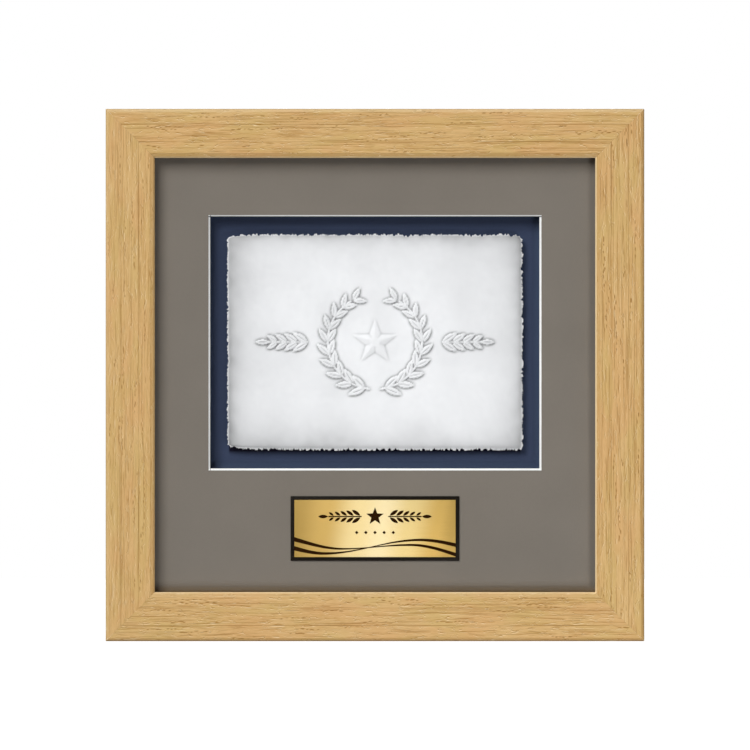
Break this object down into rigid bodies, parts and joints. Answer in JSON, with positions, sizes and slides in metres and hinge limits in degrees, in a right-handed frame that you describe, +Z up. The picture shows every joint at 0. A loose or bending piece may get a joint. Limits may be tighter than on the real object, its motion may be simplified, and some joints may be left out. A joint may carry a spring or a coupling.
{
  "type": "framed award",
  "caption": "Square-cut oak shadow box with a grey bevelled window mat, floated deckle-edged cast paper, an engraved gold plaque and hinged hanging rings.",
  "frame": {"origin": "centre of the overall box in X and Y, on the surface that the bottom rail stands on", "axes": "+X to the viewer's right across the frame's width, the glass faces -Y, +Z up"},
  "size_m": [0.3234, 0.039, 0.3195],
  "materials": {
    "oak": "clear matt oil on straight-grained light oak",
    "steel": "plain cold-rolled steel",
    "zinc": "bright zinc plate",
    "clear_glass": "clear picture glass",
    "spacer_plastic": "black extruded strip",
    "grey_facing": "matt warm grey mat facing",
    "white_core": "white mat core, bevel cut",
    "foam_board": "white foam board",
    "navy_board": "matt navy mat board",
    "cast_paper": "thick white handmade paper with a torn edge",
    "double_tape": "double-sided tape",
    "black_plate": "satin black enamel on brass",
    "gold_plate": "brushed gold-finished brass",
    "dark_enamel": "dark brown filled engraving",
    "kraft": "brown kraft paper",
    "bumper_rubber": "soft black rubber"
  },
  "bodies": {
    "frame": {"rail_top": "oak", "rail_bottom": "oak", "rail_left": "oak", "rail_right": "oak", "corner_vnails": "steel", "glazing": "clear_glass", "glazing_spacer_top": "spacer_plastic", "glazing_spacer_bottom": "spacer_plastic", "glazing_spacer_left": "spacer_plastic", "glazing_spacer_right": "spacer_plastic", "window_mat_facing": "grey_facing", "window_mat_core": "white_core", "spacer_top": "foam_board", "spacer_bottom": "foam_board", "spacer_left": "foam_board", "spacer_right": "foam_board", "mount_board": "navy_board", "float_riser": "foam_board", "riser_tapes": "double_tape", "cast_paper": "cast_paper", "plaque_back": "black_plate", "plaque_face": "gold_plate", "plaque_inlay": "dark_enamel", "plaque_tape": "double_tape", "backer_board": "foam_board", "framer_points": "steel", "dust_cover": "kraft", "dust_cover_tapes": "double_tape", "hanger_strap_left": "zinc", "hanger_strap_right": "zinc", "hanger_screws": "zinc", "wall_bumpers": "bumper_rubber"},
    "ring_left": {"hanger_ring_left": "zinc"},
    "ring_right": {"hanger_ring_right": "zinc"}
  },
  "joints": [
    {"name": "ring_left_swing", "type": "hinge", "parent": "frame", "child": "ring_left", "pos_m": [-0.15018, 0.0169, 0.2395], "axis": [1, 0, 0], "range_deg": [0, 174]},
    {"name": "ring_right_swing", "type": "hinge", "parent": "frame", "child": "ring_right", "pos_m": [0.15018, 0.0169, 0.2395], "axis": [1, 0, 0], "range_deg": [0, 174]}
  ]
}
